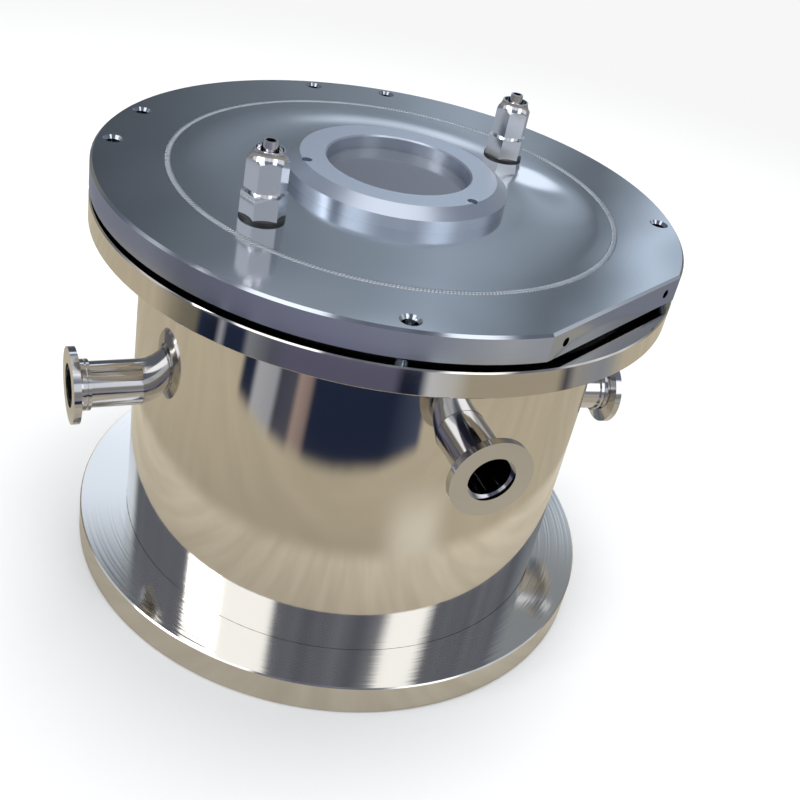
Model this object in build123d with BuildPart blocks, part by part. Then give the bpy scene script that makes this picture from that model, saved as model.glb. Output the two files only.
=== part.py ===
from build123d import *
from math import cos, radians, sin, sqrt, tan
import os

# Small water-cooled vacuum chamber: a polished barrel with a base plate, three small-flange ports
# and a loose lid that carries a window and two cooling-water couplings.
#
# Millimetres, +Z up. The origin is the centre of the base plate's underside. The front port faces
# -Y, a little towards +X, and the lid's flat faces halfway between +X and -Y.

os.makedirs("parts", exist_ok=True)

# ---- chamber body -------------------------------------------------------------------------------
flange_diameter = 225.0        # lid, top flange and base plate share one outside diameter
base_thickness = 13.5
barrel_diameter = 186.0
barrel_wall = 3.0
barrel_height = 133.0          # clear height between the base plate and the top flange
top_flange_thickness = 9.8
socket_depth = 2.4             # the barrel's ends stand in shallow sockets and are welded there
weld_fit = 0.1                 # radial clearance of every welded socket and hole
flange_edge_chamfer = 0.5

# ---- lid and its seal ---------------------------------------------------------------------------
lid_thickness = 10.5
lid_edge_chamfer = 0.9
seal_section = 5.3             # round rubber cord of the lid's O-ring
seal_groove_depth = 2.7        # the uncompressed ring holds the lid this much less than its section up
seal_groove_play = 0.4         # each side of the cord
seal_radius = 97.5             # centre line of the cord
bolt_circle_diameter = 212.0
lid_hole_diameter = 5.3
lid_countersink_diameter = 7.4
tapped_hole_diameter = 4.2
tapped_hole_depth = 7.5
main_hole_angles = (0.0, 90.0, 180.0, 270.0)
flat_angle = -45.0
extra_hole_angle = 26.5        # the hinge-side pair, each this far from the line opposite the flat
lid_flat_distance = 105.0      # from the lid's centre to the flat on its rim
flat_hole_distance = 64.0      # between the two tapped holes in the flat
flat_hole_diameter = 3.3
flat_hole_depth = 9.0

# ---- cooling channel in the lid -----------------------------------------------------------------
cover_diameter = 171.0
cover_inner_diameter = 81.0
cover_thickness = 3.0
channel_depth = 3.8
channel_land = 6.0             # width of the ledge that the cover rests on, inside and outside
weld_bead_width = 2.3
weld_bead_depth = 0.8
weld_bead_crown = 0.4

# ---- window -------------------------------------------------------------------------------------
window_aperture = 52.0
window_ledge_width = 8.5       # of the seat around the aperture
window_seat_depth = 7.6        # below the lid's top
glass_fit = 0.6                # radial clearance of the glass and its gasket in the seat
glass_thickness = 4.0
glass_lift = 0.3               # the glass stands on its seal, clear of the metal seat
window_seal_groove_depth = 1.6
window_seal_land = 3.6         # from the aperture's edge to the centre line of the seal
glass_edge_chamfer = 0.4
gasket_overhang = 0.45         # the gasket shows this much inside the ring's bore
gasket_thickness = 0.8
ring_foot_width = 6.75         # how far the ring's foot reaches in over the gasket
ring_brim_width = 8.25         # how far the ring's brim reaches out over the lid
ring_height = 7.8
ring_chamfer_width = 4.9
ring_chamfer_height = 3.45
ring_bore_chamfer = 0.6
ring_thread_fit = 0.1
spanner_hole_inset = 6.35      # from the ring's outside to the middle of each hole
spanner_hole_diameter = 3.8
spanner_hole_depth = 3.8
spanner_hole_angles = (-163.0, -45.0)

# ---- ports --------------------------------------------------------------------------------------
tube_diameter = 18.0
tube_wall = 1.2
port_flange_diameter = 30.0
port_rim_thickness = 2.8
port_taper_angle = 15.0
port_neck_diameter = 20.0
port_neck_length = 7.2
port_recess_diameter = 17.2    # takes the centring ring
port_recess_depth = 2.2
neck_groove_position = 5.4
neck_groove_width = 0.6
neck_groove_depth = 0.7
tube_length = 19.2             # from the barrel's wall to the flange
front_port_depth = 27.2
left_port_depth = 61.9
rear_port_depth = 70.0
ports = {                      # angle about the chamber, depth below the top flange's underside
    "front": (-72.5, front_port_depth),
    "left": (-160.5, left_port_depth),
    "rear": (11.5, rear_port_depth),
}

# ---- water couplings ----------------------------------------------------------------------------
coupling_radius = 68.2         # from the lid's centre
coupling_angles = {"inlet": flat_angle - 90.0, "outlet": flat_angle + 90.0}
coupling_hex_turn = 10.0       # how far the hexagons are turned
washer_diameter = 16.0
washer_thickness = 1.0
body_hex_size = 14.0           # across flats
body_hex_height = 8.2
neck_diameter = 10.5
neck_height = 1.2
stem_diameter = 8.0
stem_fit = 0.1
stem_reach = 1.5               # below the cover, into the channel
nut_hex_size = 12.8
nut_height = 13.9
nut_shoulder_height = 4.1
nut_shoulder_radius = 5.3
nut_mouth_diameter = 9.3
nut_top_diameter = 10.5
nut_mouth_depth = 3.8
nut_fit = 0.15
spigot_diameter = 6.4
spigot_tip_diameter = 4.8
spigot_rise = 2.7              # above the nut
water_bore = 3.4

# ---- sizes that follow --------------------------------------------------------------------------
flange_radius = flange_diameter / 2
barrel_radius = barrel_diameter / 2
barrel_bore_radius = barrel_radius - barrel_wall
base_top = base_thickness
top_flange_bottom = base_top + barrel_height
top_flange_top = top_flange_bottom + top_flange_thickness
lid_bottom = top_flange_top + seal_section - seal_groove_depth
lid_top = lid_bottom + lid_thickness
cover_radius = cover_diameter / 2
cover_inner_radius = cover_inner_diameter / 2
recess_floor = lid_top - cover_thickness
seat_level = lid_top - window_seat_depth
window_seat_radius = window_aperture / 2 + window_ledge_width
window_seal_radius = window_aperture / 2 + window_seal_land
window_seal_section = window_seal_groove_depth + glass_lift
glass_radius = window_seat_radius - glass_fit
ring_bore_radius = window_seat_radius - ring_foot_width
ring_radius = window_seat_radius + ring_brim_width
glass_bottom = seat_level + glass_lift
gasket_bottom = glass_bottom + glass_thickness
ring_spigot_bottom = gasket_bottom + gasket_thickness
tube_radius = tube_diameter / 2
tube_bore_radius = tube_radius - tube_wall
extra_hole_angles = (flat_angle + 180.0 - extra_hole_angle, flat_angle + 180.0 + extra_hole_angle)


def finish(builder, name):
    """Labels a finished piece and writes its STEP file."""
    builder.part.label = name
    export_step(builder.part, f"parts/{name}.step")


def ring_profile(inner, outer, bottom, top):
    """Draws a rectangle between these two places across and these two up."""
    with Locations((inner, bottom)):
        Rectangle(outer - inner, top - bottom, align=(Align.MIN, Align.MIN))


# ---- base plate: a solid disc with a shallow socket for the barrel ---------------------------------
with BuildPart() as base_plate:
    Cylinder(flange_radius, base_thickness, align=(Align.CENTER, Align.CENTER, Align.MIN))
    with BuildSketch(Plane.XY.offset(base_top)):
        Circle(barrel_radius + weld_fit)
        Circle(barrel_bore_radius - weld_fit, mode=Mode.SUBTRACT)
    extrude(amount=-socket_depth, mode=Mode.SUBTRACT)
    rims = base_plate.edges().filter_by(GeomType.CIRCLE).group_by(SortBy.RADIUS)[-1]
    chamfer(rims, flange_edge_chamfer)
finish(base_plate, "base_plate")

# ---- top flange: groove for the lid's seal and tapped holes under the lid's holes -----------------
with BuildPart() as top_flange:
    with BuildSketch(Plane.XZ):
        ring_profile(barrel_bore_radius, flange_radius, top_flange_bottom, top_flange_top)
    revolve(axis=Axis.Z)
    rims = top_flange.edges().filter_by(GeomType.CIRCLE).group_by(SortBy.RADIUS)[-1]
    chamfer(rims, flange_edge_chamfer)
    with BuildSketch(Plane.XY.offset(top_flange_bottom)):
        Circle(barrel_radius + weld_fit)
    extrude(amount=socket_depth, mode=Mode.SUBTRACT)
    with BuildSketch(Plane.XY.offset(top_flange_top)):
        Circle(seal_radius + seal_section / 2 + seal_groove_play)
        Circle(seal_radius - seal_section / 2 - seal_groove_play, mode=Mode.SUBTRACT)
    extrude(amount=-seal_groove_depth, mode=Mode.SUBTRACT)
    for hole_angle in main_hole_angles + extra_hole_angles:
        with BuildSketch(Plane.XY.offset(top_flange_top)):
            with PolarLocations(bolt_circle_diameter / 2, 1, start_angle=hole_angle):
                Circle(tapped_hole_diameter / 2)
        extrude(amount=-tapped_hole_depth, mode=Mode.SUBTRACT)
finish(top_flange, "top_flange")


# ---- ports: a straight tube through the barrel's wall and a small flange with a tapered back --------
def port_section(angle, depth):
    """The upright plane through a port's pipe: local X runs outwards, local Y runs up."""
    outwards = Vector(cos(radians(angle)), sin(radians(angle)), 0)
    foot = Vector(0, 0, top_flange_bottom - depth)
    return Plane(origin=foot, x_dir=outwards, z_dir=outwards.cross(Vector(0, 0, 1)))


with BuildPart() as barrel:
    with BuildSketch(Plane.XZ):
        ring_profile(barrel_bore_radius, barrel_radius, base_top - socket_depth,
                     top_flange_bottom + socket_depth)
    revolve(axis=Axis.Z)
    for port_angle, port_depth in ports.values():
        section = port_section(port_angle, port_depth)
        with BuildSketch(section):
            ring_profile(0, flange_radius, 0, tube_radius + weld_fit)
        revolve(axis=Axis(section.origin, section.x_dir), mode=Mode.SUBTRACT)
finish(barrel, "barrel")

for port_name, (port_angle, port_depth) in ports.items():
    section = port_section(port_angle, port_depth)
    tube_end = barrel_radius + tube_length
    face = tube_end + port_neck_length
    pipe_axis = Axis(section.origin, section.x_dir)

    with BuildPart() as tube:
        with BuildSketch(section):
            ring_profile(0, tube_end, tube_bore_radius, tube_radius)
        revolve(axis=pipe_axis)
        Cylinder(barrel_bore_radius, top_flange_top, align=(Align.CENTER, Align.CENTER, Align.MIN),
                 mode=Mode.SUBTRACT)
    finish(tube, f"{port_name}_tube")

    with BuildPart() as port_flange:
        rim_radius = port_flange_diameter / 2
        neck_radius = port_neck_diameter / 2
        taper_length = (rim_radius - neck_radius) * tan(radians(port_taper_angle))
        taper_start = face - port_rim_thickness
        with BuildSketch(section):
            with BuildLine():
                Polyline((face, tube_bore_radius), (face, rim_radius), (taper_start, rim_radius),
                         (taper_start - taper_length, neck_radius), (tube_end, neck_radius),
                         (tube_end, tube_bore_radius), close=True)
            make_face()
        revolve(axis=pipe_axis)
        groove_end = face - neck_groove_position
        with BuildSketch(section):
            ring_profile(groove_end - neck_groove_width, groove_end, neck_radius - neck_groove_depth,
                         neck_radius + neck_groove_depth)
        revolve(axis=pipe_axis, mode=Mode.SUBTRACT)
        with BuildSketch(section):
            ring_profile(face - port_recess_depth, face, 0, port_recess_diameter / 2)
        revolve(axis=pipe_axis, mode=Mode.SUBTRACT)
    finish(port_flange, f"{port_name}_flange")

# ---- lid seal: a round rubber cord in the top flange's groove, with the lid's weight on it --------
with BuildPart() as lid_seal:
    with BuildSketch(Plane.XZ):
        with Locations((seal_radius, lid_bottom - seal_section / 2)):
            Circle(seal_section / 2)
    revolve(axis=Axis.Z)
finish(lid_seal, "lid_seal")

# ---- lid: a disc with a flat on its rim, the window's seat and the cooling channel ----------------
with BuildPart() as lid_plate:
    with BuildSketch(Plane.XY.offset(lid_bottom)):
        Circle(flange_radius)
        with PolarLocations(lid_flat_distance, 1, start_angle=flat_angle):
            Rectangle(flange_radius, flange_diameter, align=(Align.MIN, Align.CENTER), mode=Mode.SUBTRACT)
    extrude(amount=lid_thickness)
    chamfer(lid_plate.faces().sort_by(Axis.Z)[-1].edges(), lid_edge_chamfer)
    chamfer(lid_plate.faces().sort_by(Axis.Z)[0].edges(), flange_edge_chamfer)
    with BuildSketch(Plane.XZ):
        ring_profile(cover_inner_radius - weld_fit, cover_radius + weld_fit, recess_floor, lid_top)
        ring_profile(cover_inner_radius + channel_land, cover_radius - channel_land,
                     recess_floor - channel_depth, recess_floor)
        ring_profile(cover_radius, cover_radius + weld_bead_width / 2, lid_top - weld_bead_depth, lid_top)
        ring_profile(0, window_seat_radius, seat_level, lid_top)
        ring_profile(0, window_aperture / 2, lid_bottom, seat_level)
        ring_profile(window_seal_radius - window_seal_section / 2,
                     window_seal_radius + window_seal_section / 2,
                     seat_level - window_seal_groove_depth, seat_level)
    revolve(axis=Axis.Z, mode=Mode.SUBTRACT)
    for hole_angle in main_hole_angles + extra_hole_angles:
        with Locations(Plane.XY.offset(lid_top)):
            with PolarLocations(bolt_circle_diameter / 2, 1, start_angle=hole_angle):
                CounterSinkHole(lid_hole_diameter / 2, lid_countersink_diameter / 2)
    flat_normal = (cos(radians(flat_angle)), sin(radians(flat_angle)), 0)
    flat_centre = Vector(*flat_normal) * lid_flat_distance + Vector(0, 0, lid_bottom + lid_thickness / 2)
    with BuildSketch(Plane(origin=flat_centre, x_dir=(0, 0, 1), z_dir=flat_normal)):
        with GridLocations(0, flat_hole_distance, 1, 2):
            Circle(flat_hole_diameter / 2)
    extrude(amount=-flat_hole_depth, mode=Mode.SUBTRACT)
finish(lid_plate, "lid_plate")

# ---- cooling cover: a thin ring welded over the channel, with a threaded hole for each coupling ------
with BuildPart() as cooling_cover:
    with BuildSketch(Plane.XZ):
        ring_profile(cover_inner_radius, cover_radius, recess_floor, lid_top)
        with Locations((cover_radius - weld_bead_width / 2, lid_top - weld_bead_depth)):
            Rectangle(weld_bead_width, weld_bead_width, align=(Align.MIN, Align.MIN), mode=Mode.SUBTRACT)
    revolve(axis=Axis.Z)
    with BuildSketch(Plane.XY.offset(lid_top)):
        for coupling_angle in coupling_angles.values():
            with PolarLocations(coupling_radius, 1, start_angle=coupling_angle):
                Circle(stem_diameter / 2 + stem_fit)
    extrude(amount=-cover_thickness, mode=Mode.SUBTRACT)
finish(cooling_cover, "cooling_cover")

with BuildPart() as cover_weld:
    with BuildSketch(Plane.XZ):
        with BuildLine():
            inside = (cover_radius - weld_bead_width / 2, lid_top)
            outside = (cover_radius + weld_bead_width / 2, lid_top)
            ThreePointArc(inside, (cover_radius, lid_top + weld_bead_crown), outside)
            Polyline(outside, (outside[0], lid_top - weld_bead_depth),
                     (inside[0], lid_top - weld_bead_depth), inside)
        make_face()
    revolve(axis=Axis.Z)
finish(cover_weld, "cover_weld")

# ---- window: seal, glass, gasket and the screwed ring that holds them down -----------------------
with BuildPart() as window_seal:
    with BuildSketch(Plane.XZ):
        with Locations((window_seal_radius, glass_bottom - window_seal_section / 2)):
            Circle(window_seal_section / 2)
    revolve(axis=Axis.Z)
finish(window_seal, "window_seal")

with BuildPart() as window_glass:
    with BuildSketch(Plane.XY.offset(glass_bottom)):
        Circle(glass_radius)
    extrude(amount=glass_thickness)
    chamfer(window_glass.edges(), glass_edge_chamfer)
finish(window_glass, "window_glass")

with BuildPart() as window_gasket:
    with BuildSketch(Plane.XY.offset(gasket_bottom)):
        Circle(glass_radius)
        Circle(ring_bore_radius - gasket_overhang, mode=Mode.SUBTRACT)
    extrude(amount=gasket_thickness)
finish(window_gasket, "window_gasket")

with BuildPart() as window_ring:
    ring_top = lid_top + ring_height
    thread_radius = window_seat_radius - ring_thread_fit
    with BuildSketch(Plane.XZ):
        with BuildLine():
            Polyline((ring_bore_radius, ring_spigot_bottom), (thread_radius, ring_spigot_bottom),
                     (thread_radius, lid_top), (ring_radius, lid_top),
                     (ring_radius, ring_top - ring_chamfer_height),
                     (ring_radius - ring_chamfer_width, ring_top),
                     (ring_bore_radius + ring_bore_chamfer, ring_top),
                     (ring_bore_radius, ring_top - ring_bore_chamfer), close=True)
        make_face()
    revolve(axis=Axis.Z)
    for hole_angle in spanner_hole_angles:
        with BuildSketch(Plane.XY.offset(ring_top)):
            with PolarLocations(ring_radius - spanner_hole_inset, 1, start_angle=hole_angle):
                Circle(spanner_hole_diameter / 2)
        extrude(amount=-spanner_hole_depth, mode=Mode.SUBTRACT)
finish(window_ring, "window_ring")

# ---- water couplings: sealing washer, hexagonal body with a tapered spigot, and a cap nut ----------
for coupling_name, coupling_angle in coupling_angles.items():
    centre_x = coupling_radius * cos(radians(coupling_angle))
    centre_y = coupling_radius * sin(radians(coupling_angle))
    hex_direction = (cos(radians(coupling_hex_turn)), sin(radians(coupling_hex_turn)), 0)
    foot = Plane(origin=(centre_x, centre_y, lid_top), x_dir=hex_direction)
    hex_bottom = washer_thickness
    hex_top = hex_bottom + body_hex_height
    nut_bottom = hex_top + neck_height
    nut_top = nut_bottom + nut_height
    spigot_top = nut_top + spigot_rise

    with BuildPart() as washer:
        with BuildSketch(foot):
            Circle(washer_diameter / 2)
            Circle(stem_diameter / 2 + stem_fit, mode=Mode.SUBTRACT)
        extrude(amount=washer_thickness)
    finish(washer, f"{coupling_name}_washer")

    with BuildPart() as body:
        with BuildSketch(foot.offset(-cover_thickness - stem_reach)):
            Circle(stem_diameter / 2)
        extrude(amount=cover_thickness + stem_reach + hex_bottom)
        with BuildSketch(foot.offset(hex_bottom)):
            RegularPolygon(body_hex_size / 2, 6, major_radius=False)
        extrude(amount=body_hex_height)
        with BuildSketch(foot.offset(hex_top)):
            Circle(neck_diameter / 2)
        extrude(amount=neck_height + nut_height - nut_mouth_depth - nut_fit)
        with BuildSketch(foot.offset(nut_top - nut_mouth_depth - nut_fit)):
            Circle(spigot_diameter / 2)
        with BuildSketch(foot.offset(spigot_top)):
            Circle(spigot_tip_diameter / 2)
        loft()
        with BuildSketch(foot.offset(spigot_top)):
            Circle(water_bore / 2)
        extrude(amount=-spigot_top - cover_thickness - stem_reach, mode=Mode.SUBTRACT)
    finish(body, f"{coupling_name}_body")

    with BuildPart() as nut:
        with BuildSketch(foot.offset(nut_bottom)):
            RegularPolygon(nut_hex_size / 2, 6, major_radius=False)
        extrude(amount=nut_height)
        corner_radius = nut_hex_size / sqrt(3)
        with BuildSketch(Plane(origin=foot.origin, x_dir=foot.x_dir, z_dir=foot.y_dir)):
            with BuildLine():
                shoulder = (corner_radius, -(nut_top - nut_shoulder_height))
                crown = (nut_top_diameter / 2, -nut_top)
                RadiusArc(shoulder, crown, -nut_shoulder_radius)
                Polyline(crown, (nut_hex_size, -nut_top), (nut_hex_size, shoulder[1]), shoulder)
            make_face()
        revolve(axis=Axis(foot.origin, foot.z_dir), mode=Mode.SUBTRACT)
        with BuildSketch(foot.offset(nut_top)):
            Circle(nut_mouth_diameter / 2)
        extrude(amount=-nut_mouth_depth, mode=Mode.SUBTRACT)
        with BuildSketch(foot.offset(nut_bottom)):
            Circle(neck_diameter / 2 + nut_fit)
        extrude(amount=nut_height - nut_mouth_depth, mode=Mode.SUBTRACT)
    finish(nut, f"{coupling_name}_nut")
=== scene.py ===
import math
import bpy
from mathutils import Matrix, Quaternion, Vector


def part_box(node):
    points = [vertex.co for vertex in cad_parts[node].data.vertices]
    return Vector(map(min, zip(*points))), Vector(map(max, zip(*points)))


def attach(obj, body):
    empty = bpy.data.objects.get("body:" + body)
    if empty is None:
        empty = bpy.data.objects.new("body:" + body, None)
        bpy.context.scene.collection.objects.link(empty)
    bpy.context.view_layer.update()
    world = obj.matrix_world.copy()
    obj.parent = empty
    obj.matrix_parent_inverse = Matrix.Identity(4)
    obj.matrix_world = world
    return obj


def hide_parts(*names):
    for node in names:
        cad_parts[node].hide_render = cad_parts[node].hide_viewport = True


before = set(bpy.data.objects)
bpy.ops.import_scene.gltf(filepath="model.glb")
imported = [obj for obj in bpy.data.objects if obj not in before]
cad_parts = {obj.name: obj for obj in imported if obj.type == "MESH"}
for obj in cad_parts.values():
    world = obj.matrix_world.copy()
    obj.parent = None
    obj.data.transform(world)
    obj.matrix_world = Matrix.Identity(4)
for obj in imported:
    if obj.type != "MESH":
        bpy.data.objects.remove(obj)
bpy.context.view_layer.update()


# ---- base plate -----------------------------------------------------------------------------------
# A thick stainless disc, faced on a lathe and then polished on top, so that it mirrors the barrel.
# Its rim keeps the fine turned lines and is a little warmer and duller.
class Sock:
    """One value of a material: a socket that can be written in sums with numbers and other values."""

    def __init__(self, finish, socket):
        self.finish = finish
        self.socket = socket

    def maths(self, operation, first, second=0.0):
        return self.finish.node("ShaderNodeMath", {"operation": operation}, {0: first, 1: second})

    def __add__(self, other):
        return self.maths("ADD", self, other)

    def __radd__(self, other):
        return self.maths("ADD", other, self)

    def __sub__(self, other):
        return self.maths("SUBTRACT", self, other)

    def __rsub__(self, other):
        return self.maths("SUBTRACT", other, self)

    def __mul__(self, other):
        return self.maths("MULTIPLY", self, other)

    def __rmul__(self, other):
        return self.maths("MULTIPLY", other, self)

    def __gt__(self, other):
        return self.maths("GREATER_THAN", self, other)


class Finish:
    """A material that is being wired up."""

    def __init__(self, name, tree=None):
        if tree is None:
            self.material = bpy.data.materials.new(name)
            self.material.use_nodes = True
            tree = self.material.node_tree
        self.tree = tree
        self.tree.nodes.clear()

    def node(self, kind, settings=None, values=None, out=0):
        """Adds one node, sets it up, fills or links its inputs, and gives one of its outputs."""
        made = self.tree.nodes.new(kind)
        for key, value in (settings or {}).items():
            if key == "stops":
                ramp = made.color_ramp
                while len(ramp.elements) < len(value):
                    ramp.elements.new(0.5)
                for element, (place, colour) in zip(ramp.elements, value):
                    element.position = place
                    element.color = (*colour, 1.0)
            else:
                setattr(made, key, value)
        for key, value in (values or {}).items():
            if isinstance(value, Sock):
                self.tree.links.new(value.socket, made.inputs[key])
            elif value is not None:
                made.inputs[key].default_value = value
        return Sock(self, made.outputs[out])

    def place(self, stretch=(1, 1, 1), turn=(0, 0, 0)):
        """Where a point lies on the object, stretched and turned as asked."""
        where = self.node("ShaderNodeTexCoord", out="Object")
        return self.node("ShaderNodeMapping", {}, {"Vector": where, "Scale": stretch, "Rotation": turn})

    def noise(self, where, scale, detail=2.0):
        return self.node("ShaderNodeTexNoise", {}, {"Vector": where, "Scale": scale, "Detail": detail})

    def axis(self, where, name):
        return self.node("ShaderNodeSeparateXYZ", {}, {"Vector": where}, out=name)

    def from_axis(self, where):
        """Distance from the upright axis."""
        level = self.node("ShaderNodeVectorMath", {"operation": "MULTIPLY"}, {0: where, 1: (1, 1, 0)})
        return self.node("ShaderNodeVectorMath", {"operation": "LENGTH"}, {0: level}, out="Value")

    def ease(self, value, low, high, start=0.0, end=1.0):
        """Goes softly from start to end as the value goes from low to high."""
        return self.node("ShaderNodeMapRange", {"interpolation_type": "SMOOTHSTEP"},
                         {"Value": value, "From Min": low, "From Max": high,
                          "To Min": start, "To Max": end})

    def between(self, value, low, high, blur):
        """1 between these two limits and 0 outside them, with soft edges."""
        rising = self.ease(value, low - blur, low + blur)
        falling = self.ease(value, high - blur, high + blur, 1.0, 0.0)
        return rising * falling

    def along(self, angle, half_width, stops):
        """Colours that follow one another from minus to plus this many degrees."""
        whole = 2.0 * half_width
        share = angle * (1.0 / whole) + 0.5
        placed = [(0.5 + degrees / whole, colour) for degrees, colour in stops]
        return self.node("ShaderNodeValToRGB", {"stops": placed}, {"Fac": share})

    def mix(self, amount, first, second):
        return self.node("ShaderNodeMix", {"data_type": "RGBA"}, {0: amount, 6: first, 7: second}, out=2)

    def bump(self, height, distance):
        return self.node("ShaderNodeBump", {}, {"Height": height, "Distance": distance, "Strength": 1.0})

    def surface(self, **values):
        named = {key.replace("_", " "): value for key, value in values.items()}
        self.show(self.node("ShaderNodeBsdfPrincipled", {}, named))
        return self.material

    def show(self, shader, kind="ShaderNodeOutputMaterial"):
        """Makes this shader the one that is seen."""
        end = self.tree.nodes.new(kind)
        self.tree.links.new(shader.socket, end.inputs["Surface"])


def dress(material, *names):
    """Gives CAD nodes this finish."""
    for name in names:
        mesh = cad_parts[name].data
        mesh.materials.clear()
        mesh.materials.append(material)


def turned_lines(finish, where, fineness):
    """Rings round the upright axis, as a lathe tool leaves them."""
    across = finish.from_axis(where)
    height = finish.axis(where, "Z")
    point = finish.node("ShaderNodeCombineXYZ", {}, {"X": across * fineness, "Y": height * fineness})
    return finish.node("ShaderNodeTexNoise", {}, {"Vector": point, "Scale": 1.0, "Detail": 3.0})


base = Finish("polished_plate")
where = base.place()
lines = turned_lines(base, where, 900.0)
cloud = base.noise(where, 9.0)
rim_starts = 0.1492
rim = base.from_axis(where) > rim_starts
line_depth = 0.00003
dress(base.surface(
    Base_Color=base.mix(rim, (0.72, 0.71, 0.69, 1), (0.90, 0.86, 0.80, 1)),
    Metallic=1.0,
    Roughness=0.07 + rim * 0.24 + cloud * 0.05,
    Normal=base.bump(lines, line_depth)), "base_plate")

# ---- barrel and top flange ------------------------------------------------------------------------
# A rolled and welded stainless tube, mirror-polished outside, with the top flange welded on.
# Hand polishing leaves it very slightly wavy, so straight reflections bend a little.
mirror = Finish("mirror_steel")
wave_depth = 0.0012
waves = mirror.noise(mirror.place((1, 1, 0.5)), 7.0, 1.0)
haze = mirror.noise(mirror.place((1, 1, 6.0)), 14.0, 3.0)
dress(mirror.surface(
    Base_Color=(0.74, 0.71, 0.66, 1),
    Metallic=1.0,
    Roughness=0.03 + haze * 0.06,
    Normal=mirror.bump(waves, wave_depth)), "barrel", "top_flange")

# ---- lid ------------------------------------------------------------------------------------------
# A stainless plate, satin-polished so that it reflects softly, with a flat milled on its rim. The
# thin cover over its cooling channel is let in flush and welded all round, and the heat of the weld
# has pulled it into a very shallow dish with a dent to the right, which bends what it mirrors.
satin = Finish("satin_steel")
where = satin.place()
lines = turned_lines(satin, where, 1200.0)
cloud = satin.noise(where, 11.0, 3.0)
dish_floor_radius = 0.050
dish_brim_radius = 0.080
dish_depth = 0.0022
dent_centre = (0.050, 0.010, 0.1694)
dent_radius = 0.032
dish = satin.ease(satin.from_axis(where), dish_floor_radius, dish_brim_radius)
deeper_behind = satin.ease(satin.axis(where, "Y"), -0.060, 0.030, 0.25, 1.0)
from_dent = satin.node("ShaderNodeVectorMath", {"operation": "DISTANCE"},
                       {0: where, 1: dent_centre}, out="Value")
dent = satin.ease(from_dent, 0.0, dent_radius)
pulled = satin.noise(satin.place((1.0, 1.0, 0.0)), 16.0, 1.0)
relief = dish * deeper_behind + dent * 0.6 + pulled * 0.40 + lines * 0.0015
dress(satin.surface(
    Base_Color=satin.mix(cloud, (0.47, 0.51, 0.56, 1), (0.58, 0.61, 0.65, 1)),
    Metallic=1.0,
    Roughness=0.08 + cloud * 0.06,
    Normal=satin.bump(relief, dish_depth)), "lid_plate", "cooling_cover")

# ---- weld round the cover -------------------------------------------------------------------------
# One run of TIG weld that joins the cover to the lid: a row of puddles, each frozen half over the one
# before it. A puddle is a flattened ball, and the row is made by spinning copies of it round the lid.
weld_radius = 0.0855
lid_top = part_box("lid_plate")[1].z
puddle_pitch = 0.00125
puddle_size = (0.00125, 0.00105, 0.00032)
puddle_tilt = math.radians(-9.0)
puddle_sink = 0.00004
puddles = round(2 * math.pi * weld_radius / puddle_pitch)
bpy.ops.object.select_all(action="DESELECT")
bpy.ops.mesh.primitive_uv_sphere_add(segments=12, ring_count=8, radius=1.0, location=(0, 0, 0))
bead = bpy.context.object
bead.name = "weld_bead"
bpy.ops.object.mode_set(mode="EDIT")
bpy.ops.mesh.select_all(action="SELECT")
bpy.ops.transform.resize(value=puddle_size)
bpy.ops.transform.rotate(value=puddle_tilt, orient_axis="X", center_override=(0, 0, 0))
bpy.ops.transform.translate(value=(weld_radius, 0, lid_top - puddle_sink))
bpy.ops.mesh.spin(steps=puddles, dupli=True, angle=2 * math.pi, center=(0, 0, 0), axis=(0, 0, 1))
bpy.ops.object.mode_set(mode="OBJECT")
bpy.ops.object.shade_smooth()
weld = Finish("weld_steel")
uneven = weld.noise(weld.place(), 60.0)
bead.data.materials.append(weld.surface(
    Base_Color=weld.mix(uneven, (0.42, 0.45, 0.49, 1), (0.74, 0.77, 0.80, 1)),
    Metallic=1.0,
    Roughness=0.18 + uneven * 0.2))
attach(bead, "root")
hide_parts("cover_weld")

# ---- seals ----------------------------------------------------------------------------------------
# Black fluoroelastomer cord and flat rubber, slightly shiny.
rubber = Finish("seal_rubber")
dress(rubber.surface(Base_Color=(0.02, 0.02, 0.022, 1), Roughness=0.45),
      "lid_seal", "window_seal", "window_gasket", "inlet_washer", "outlet_washer")

# ---- window ---------------------------------------------------------------------------------------
# A stepped glass disc, whose raised middle stands up inside the screwed aluminium ring. The ring is
# turned fine and clear anodised.
glass_low, glass_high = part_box("window_glass")
ring_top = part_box("window_ring")[1].z
glass_radius = (glass_high.x - glass_low.x) / 2
pane_depth = glass_high.z - glass_low.z
boss_radius = 0.0272
boss_below_ring = 0.0051
boss_height = ring_top - boss_below_ring - glass_high.z
bpy.ops.object.select_all(action="DESELECT")
bpy.ops.mesh.primitive_cylinder_add(vertices=128, radius=glass_radius, depth=pane_depth,
                                    location=(0, 0, 0))
pane = bpy.context.object
pane.name = "window_pane"
for face in pane.data.polygons:
    face.select = face.normal.z > 0.9
bpy.ops.object.mode_set(mode="EDIT")
bpy.ops.mesh.select_mode(type="FACE")
bpy.ops.mesh.inset(thickness=glass_radius - boss_radius)
bpy.ops.mesh.extrude_region_move(TRANSFORM_OT_translate={"value": (0, 0, boss_height)})
bpy.ops.mesh.select_all(action="SELECT")
bpy.ops.transform.translate(value=(0, 0, (glass_low.z + glass_high.z) / 2))
bpy.ops.object.mode_set(mode="OBJECT")
bpy.ops.object.shade_smooth_by_angle(angle=math.radians(30.0))
glass = Finish("window_glass")
pane.data.materials.append(glass.surface(
    Base_Color=(0.13, 0.145, 0.18, 1), Roughness=0.12, IOR=1.47, Transmission_Weight=0.35))
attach(pane, "root")
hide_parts("window_glass")

ring = Finish("ring_aluminium")
lines = turned_lines(ring, ring.place(), 1500.0)
fine_line_depth = 0.00002
dress(ring.surface(Base_Color=(0.62, 0.68, 0.78, 1), Metallic=0.95, Roughness=0.3,
                   Normal=ring.bump(lines, fine_line_depth)), "window_ring")

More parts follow.
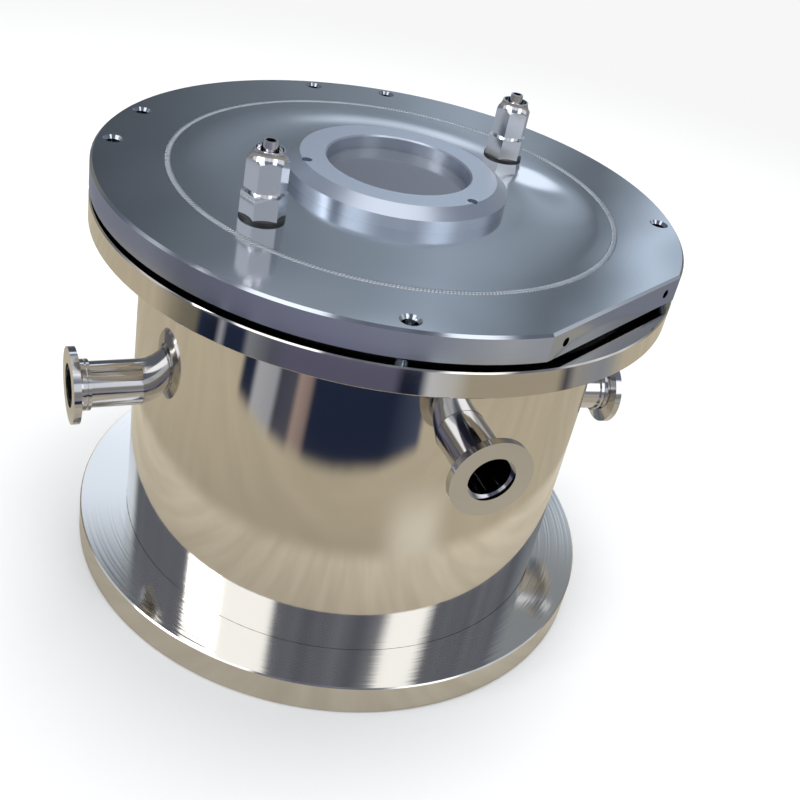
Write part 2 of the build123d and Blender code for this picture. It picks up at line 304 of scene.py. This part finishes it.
# ---- ports ----------------------------------------------------------------------------------------
# Straight polished stainless tube, welded into the barrel's wall at one end and to a small flange at
# the other.
pipe = Finish("port_steel")
cloud = pipe.noise(pipe.place(), 60.0)
dress(pipe.surface(Base_Color=(0.64, 0.64, 0.66, 1), Metallic=1.0, Roughness=0.07 + cloud * 0.05),
      *[f"{side}_{piece}" for side in ("front", "left", "rear") for piece in ("tube", "flange")])

# ---- water couplings ------------------------------------------------------------------------------
# Bright hexagonal bodies with cap nuts, turned and milled from stainless bar.
bright = Finish("coupling_steel")
dress(bright.surface(Base_Color=(0.82, 0.82, 0.84, 1), Metallic=1.0, Roughness=0.10),
      "inlet_body", "outlet_body", "inlet_nut", "outlet_nut")

# ---- floor ----------------------------------------------------------------------------------------
# A plain pale floor. What the polished steel mirrors is painted on it instead, a painted reflection of
# the warm bench top of a workshop with somebody in dark clothes standing in front of it, because steel
# among white walls only looks white.
bpy.ops.object.select_all(action="DESELECT")
bpy.ops.mesh.primitive_plane_add(size=12.0, location=(0, 0, 0))
floor = bpy.context.object
floor.name = "floor"
pale = Finish("pale_floor")
where = pale.place()
east = pale.axis(where, "X")
north = pale.axis(where, "Y")
in_degrees = 180.0 / math.pi
heading = east.maths("ARCTAN2", east, 0.0 - north) * in_degrees
reach = pale.node("ShaderNodeVectorMath", {"operation": "LENGTH"}, {0: where}, out="Value")
horizon = 3.0

wood = pale.mix(pale.noise(pale.place((1.0, 5.0, 1.0)), 9.0, 4.0),
                (0.33, 0.29, 0.215, 1), (0.46, 0.405, 0.305, 1))
# A pale band on the bench is a painted highlight, which the barrel mirrors as a soft pale streak.
painted_sheen = pale.between(heading, 16.0, 34.0, 7.0) * pale.between(reach, 0.10, 0.20, 0.03) * 0.5
bench = pale.mix(painted_sheen, wood, (0.80, 0.76, 0.68, 1))
# Near the middle the bench is painted lighter. This is painted light where the base would shade the
# floor, so that the plate's rim mirrors bright wood.
grain = pale.noise(pale.place((9.0, 1.6, 1.0), turn=(0, 0, 0.6)), 9.0, 3.0)
painted_lit_wood = pale.mix(grain, (0.44, 0.39, 0.30, 1), (0.70, 0.63, 0.51, 1))
bench = pale.mix(pale.between(reach, -1.0, 0.163, 0.008), bench, painted_lit_wood)

black = (0.008, 0.010, 0.022)
navy = (0.012, 0.018, 0.040)
slate = (0.085, 0.082, 0.130)
tan = (0.30, 0.265, 0.20)
shade = (0.20, 0.20, 0.23)
half_turn = 90.0
# A painted reflection of somebody in dark clothes standing close in front, and of the room further off
# beyond the bench.
painted_clothes = pale.along(heading, half_turn, [
    (-52, navy), (-48, navy), (-46, (0.33, 0.34, 0.37)), (-38, (0.27, 0.28, 0.31)),
    (-36, (0.045, 0.05, 0.07)), (-30, (0.06, 0.06, 0.08)), (-28, (0.28, 0.215, 0.19)),
    (-24, (0.20, 0.15, 0.14)), (-22, navy), (8, navy), (21, (0.05, 0.06, 0.10))])
further_off = pale.along(heading, half_turn, [
    (-70, (0.16, 0.145, 0.11)), (-62, (0.12, 0.11, 0.085)), (-60, navy), (-54, black),
    (-52, (0.26, 0.27, 0.30)), (-50, navy), (-44, navy), (-42, (0.17, 0.18, 0.20)),
    (-34, (0.07, 0.075, 0.10)), (-28, slate), (4, slate), (7, black), (12, navy),
    (15, (0.46, 0.47, 0.49)), (23, (0.40, 0.39, 0.37)), (28, tan), (60, tan),
    (64, (0.05, 0.05, 0.06)), (68, (0.25, 0.24, 0.22)), (80, (0.20, 0.22, 0.25))])
past_bench = pale.along(heading, half_turn, [
    (-88, shade), (-70, (0.13, 0.13, 0.16)), (-20, (0.21, 0.20, 0.26)), (15, (0.25, 0.25, 0.28)),
    (40, (0.42, 0.41, 0.40)), (88, shade)])

# The near edge of the painted clothes is rounded and a little uneven.
bulge = (heading + 12.0) * (1.0 / 45.0)
uneven = (pale.noise(where, 16.0) - 0.5) * 0.008
ragged = reach - bulge * bulge * 0.045 + uneven
painted_figure = pale.between(heading, -53.0, 21.0, 1.5) * pale.between(ragged, 0.226, 0.60, 0.010)
seen = pale.mix(painted_figure, bench, painted_clothes)
room_front = pale.between(heading, -75.0, 88.0, 8.0) * pale.between(reach, 0.315, horizon, 0.006)
seen = pale.mix(room_front, seen, further_off)
seen = pale.mix(pale.between(reach, 0.378, horizon, 0.006), seen, past_bench)

# To the eye the floor is pale near the object and fades into the white of the room.
white_room = (0.93, 0.93, 0.93, 1)
mirrored = pale.node("ShaderNodeLightPath", out="Is Glossy Ray")
by_eye = pale.node("ShaderNodeLightPath", out="Is Camera Ray")
away = by_eye * pale.ease(reach, 0.32, 0.95)
matt = pale.node("ShaderNodeBsdfPrincipled", {}, {
    "Base Color": pale.mix(mirrored, (0.86, 0.86, 0.85, 1), seen), "Roughness": 0.9,
    "Specular IOR Level": 0.0})
plain = pale.node("ShaderNodeEmission", {}, {"Color": white_room, "Strength": 1.0})
pale.show(pale.node("ShaderNodeMixShader", {}, {0: away, 1: matt, 2: plain}))
floor.data.materials.append(pale.material)

# ---- light ----------------------------------------------------------------------------------------
# A white room for the eye. Steel and glass see a dimmer hall instead: a cool grey wall with a window
# band behind the object, darkness with two bright windows in front of it, and a pale ceiling.
world = bpy.data.worlds.new("room")
bpy.context.scene.world = world
world.use_nodes = True
hall = Finish("room", world.node_tree)
aim = hall.node("ShaderNodeTexCoord", out="Generated")
up = hall.axis(aim, "Z")
turn = up.maths("ARCTAN2", hall.axis(aim, "X"), hall.axis(aim, "Y")) * in_degrees
rise = up.maths("ARCSINE", up) * in_degrees
aside = turn.maths("ABSOLUTE", turn)
all_round = 400.0
zenith = 200.0


def wall_grey(level):
    """A cool grey of this brightness."""
    return (level * 0.86, level * 0.98, level * 1.12)


def window(sky, turns, rises, colour):
    """Lays a soft-edged patch of this colour over the hall; each range is low, high and blur."""
    return hall.mix(hall.between(*turns) * hall.between(*rises), sky, colour)


sky = hall.along(turn, 30.0, [(degrees, wall_grey(level)) for degrees, level in [
    (-28, 0.20), (-12, 0.10), (-6, 0.16), (2, 0.30), (6, 0.40), (10, 0.56), (14, 0.40), (17.5, 0.20),
    (20, 0.50), (22.5, 1.0), (26, 0.5), (29, 0.3)]])
drift = hall.node("ShaderNodeTexNoise", {"noise_dimensions": "1D"},
                  {"W": turn * 0.09, "Detail": 2.0, "Scale": 1.0})
dark_front = hall.mix(drift, (0.10, 0.11, 0.15, 1), (0.26, 0.28, 0.34, 1))
lit_front = hall.mix(drift, (0.42, 0.44, 0.48, 1), (1.0, 1.03, 1.08, 1))
sky = window(sky, (aside, 34.0, all_round, 4.0), (rise, -90.0, 16.0, 4.0), (0.29, 0.275, 0.24, 1))
sky = hall.mix(hall.between(rise, 50.0, zenith, 8.0), sky, (0.62, 0.64, 0.66, 1))
sky = hall.mix(hall.between(rise, 66.0, zenith, 5.0), sky, (1.12, 1.13, 1.15, 1))
sky = window(sky, (turn, -12.0, 15.0, 4.0), (rise, 31.0, 38.0, 1.5), (1.5, 1.6, 1.75, 1))
sky = window(sky, (turn, -40.0, 3.0, 6.0), (rise, 35.0, 42.0, 3.0), (1.0, 1.1, 1.25, 1))
sky = window(sky, (turn, 14.0, 40.0, 4.0), (rise, 37.0, 50.0, 2.0), (0.28, 0.30, 0.32, 1))
sky = window(sky, (aside, 50.0, all_round, 8.0), (rise, 20.0, 66.0, 5.0), dark_front)
sky = window(sky, (aside, 70.0, all_round, 8.0), (rise, 14.0, 37.0, 2.5), lit_front)
front_windows = hall.between(turn, -152.0, -113.0, 2.5) + hall.between(turn, 120.0, 146.0, 5.0)
sky = hall.mix(front_windows * hall.between(rise, 14.0, 66.0, 4.0), sky, (1.7, 1.74, 1.8, 1))
to_eye = hall.node("ShaderNodeLightPath", out="Is Camera Ray")
white = hall.node("ShaderNodeBackground", {}, {"Color": white_room, "Strength": 1.0})
dim = hall.node("ShaderNodeBackground", {}, {"Color": sky, "Strength": 1.0})
hall.show(hall.node("ShaderNodeMixShader", {}, {0: to_eye, 1: dim, 2: white}), "ShaderNodeOutputWorld")


middle = Vector((0, 0, 0.09))


def soft_box(name, place, size, power):
    """A rectangular lamp that faces the middle of the object."""
    light = bpy.data.lights.new(name, "AREA")
    light.shape = "RECTANGLE"
    light.size, light.size_y = size
    light.energy = power
    lamp = bpy.data.objects.new(name, light)
    bpy.context.scene.collection.objects.link(lamp)
    lamp.location = place
    lamp.rotation_mode = "QUATERNION"
    lamp.rotation_quaternion = (middle - Vector(place)).to_track_quat("-Z", "Y")
    return lamp


# The steel doesn't mirror the big lamp, or the lid would be one white glare from above.
overhead = soft_box("overhead", (0.2, 0.3, 1.5), (1.2, 1.2), 19.0)
overhead.visible_glossy = False
soft_box("side", (-1.3, -0.5, 0.9), (0.5, 0.8), 5.0)

# ---- camera ---------------------------------------------------------------------------------------
# Looks down on the front from a little to the left, and is tilted, so the object leans to the right.
camera = bpy.data.objects.new("camera", bpy.data.cameras.new("camera"))
bpy.context.scene.collection.objects.link(camera)
camera.data.lens = 48.26
camera.data.sensor_width = 36.0
camera.data.clip_start = 0.01
camera.location = (-0.04508, -0.38633, 0.32318)
camera.rotation_mode = "QUATERNION"
sight = Vector((0.01935, -0.00323, 0.07335)) - camera.location
roll = Quaternion((0, 0, 1), math.radians(12.52))
camera.rotation_quaternion = sight.to_track_quat("-Z", "Y") @ roll
bpy.context.scene.camera = camera
bpy.context.scene.view_settings.view_transform = "Standard"
